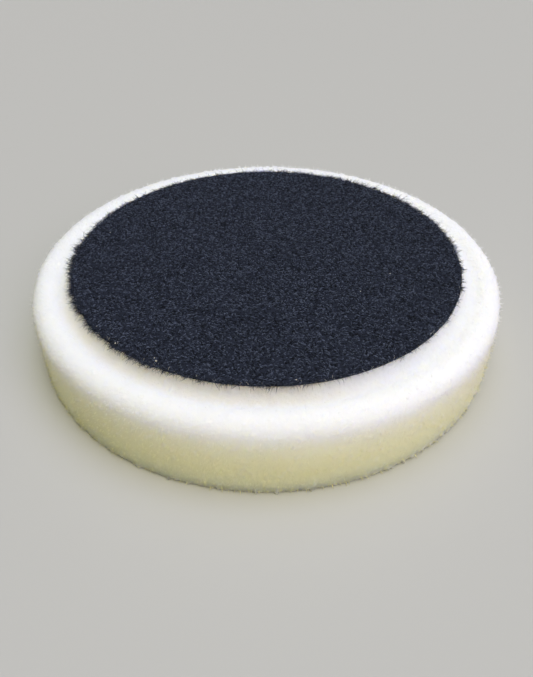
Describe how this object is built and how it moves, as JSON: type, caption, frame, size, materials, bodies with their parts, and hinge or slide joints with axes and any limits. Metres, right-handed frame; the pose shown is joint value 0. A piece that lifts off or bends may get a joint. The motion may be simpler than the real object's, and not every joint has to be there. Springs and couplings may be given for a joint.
{
  "type": "polishing pad",
  "caption": "Round soft foam polishing pad with rounded rim and a brushed-loop backing disc, for a hook-faced backing plate on a machine polisher.",
  "frame": {"origin": "centre of the flat working face, which the pad lies on", "axes": "+Z along the pad's spin axis, from the working face up through the loop backing; X and Y lie in the working face, and the pad is round about Z"},
  "size_m": [0.15, 0.15, 0.028],
  "materials": {
    "foam": "open-cell cut foam, matt",
    "hot_melt": "thin adhesive film",
    "ground_cloth": "knitted, matt",
    "loop_nylon": "brushed loop pile, matt"
  },
  "bodies": {
    "root": {"foam_body": "foam", "glue_film": "hot_melt", "loop_ground": "ground_cloth", "loop_pile": "loop_nylon"}
  },
  "joints": []
}
